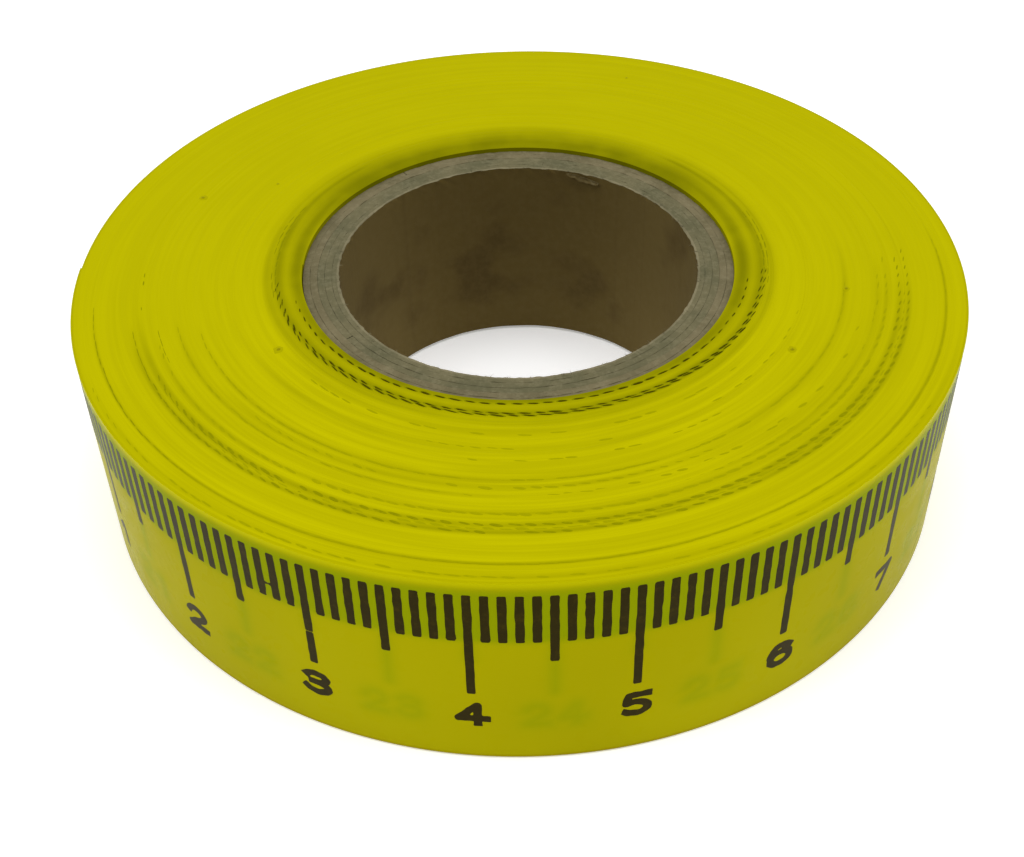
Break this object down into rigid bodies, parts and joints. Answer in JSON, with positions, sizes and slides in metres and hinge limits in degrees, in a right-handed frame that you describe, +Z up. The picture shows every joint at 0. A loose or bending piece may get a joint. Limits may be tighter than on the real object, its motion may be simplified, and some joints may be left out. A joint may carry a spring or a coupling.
{
  "type": "roll of printed measuring tape",
  "caption": "Flat roll of flexible yellow film tape printed with a centimetre and millimetre scale, wound on a short paperboard tube, with a free end that peels off.",
  "frame": {"origin": "centre of the roll's bottom end face, on its axis", "axes": "+Z up along the roll's axis; the printed scale's upper edge is at the top; the tape's free end is on the -X side"},
  "size_m": [0.0621, 0.0621, 0.016],
  "materials": {
    "tape_film": "glossy translucent yellow printed film",
    "wound_edges": "satin edges of wound yellow film",
    "core_board": "matte grey-brown recycled paperboard",
    "core_liner": "matte dark brown kraft liner"
  },
  "bodies": {
    "roll": {"core_liner_ply": "core_liner", "core_inner_ply": "core_board", "core_middle_ply": "core_board", "core_outer_ply": "core_board", "core_cover_ply": "core_board", "tape_turns_1_to_18": "wound_edges", "tape_turns_19_to_38": "wound_edges", "tape_turns_39_to_75": "wound_edges", "tape_turns_76_to_113": "wound_edges", "tape_turns_114_to_144": "wound_edges", "tape_turns_145_to_156": "wound_edges", "tape_turn_157": "tape_film", "tape_turn_158": "tape_film"},
    "tail_1": {"tape_tail_1": "tape_film"},
    "tail_2": {"tape_tail_2": "tape_film"},
    "tail_3": {"tape_tail_3": "tape_film"},
    "tail_4": {"tape_tail_4": "tape_film"},
    "tail_5": {"tape_tail_5": "tape_film"},
    "tail_6": {"tape_tail_6": "tape_film"},
    "tail_7": {"tape_tail_7": "tape_film"},
    "tail_8": {"tape_tail_8": "tape_film"}
  },
  "joints": [
    {"name": "tail_peel", "type": "hinge", "parent": "roll", "child": "tail_1", "pos_m": [-0.01554, -0.02691, 0.00806], "axis": [0, 0, 1], "range_deg": [0, 16]},
    {"name": "tail_curl_2", "type": "hinge", "parent": "tail_1", "child": "tail_2", "pos_m": [-0.01892, -0.02465, 0.00806], "axis": [0, 0, 1], "range_deg": [0, 16]},
    {"name": "tail_curl_3", "type": "hinge", "parent": "tail_2", "child": "tail_3", "pos_m": [-0.02198, -0.02198, 0.00806], "axis": [0, 0, 1], "range_deg": [0, 16]},
    {"name": "tail_curl_4", "type": "hinge", "parent": "tail_3", "child": "tail_4", "pos_m": [-0.02466, -0.01892, 0.00806], "axis": [0, 0, 1], "range_deg": [0, 16]},
    {"name": "tail_curl_5", "type": "hinge", "parent": "tail_4", "child": "tail_5", "pos_m": [-0.02692, -0.01554, 0.00806], "axis": [0, 0, 1], "range_deg": [0, 16]},
    {"name": "tail_curl_6", "type": "hinge", "parent": "tail_5", "child": "tail_6", "pos_m": [-0.02872, -0.0119, 0.00806], "axis": [0, 0, 1], "range_deg": [0, 16]},
    {"name": "tail_curl_7", "type": "hinge", "parent": "tail_6", "child": "tail_7", "pos_m": [-0.03003, -0.00805, 0.00806], "axis": [0, 0, 1], "range_deg": [0, 16]},
    {"name": "tail_curl_8", "type": "hinge", "parent": "tail_7", "child": "tail_8", "pos_m": [-0.03082, -0.00406, 0.00806], "axis": [0, 0, 1], "range_deg": [0, 16]}
  ],
  "couplings": [
    {"joint": "tail_curl_2", "follows": "tail_peel", "ratio": 1},
    {"joint": "tail_curl_3", "follows": "tail_peel", "ratio": 1},
    {"joint": "tail_curl_4", "follows": "tail_peel", "ratio": 1},
    {"joint": "tail_curl_5", "follows": "tail_peel", "ratio": 1},
    {"joint": "tail_curl_6", "follows": "tail_peel", "ratio": 1},
    {"joint": "tail_curl_7", "follows": "tail_peel", "ratio": 1},
    {"joint": "tail_curl_8", "follows": "tail_peel", "ratio": 1}
  ]
}
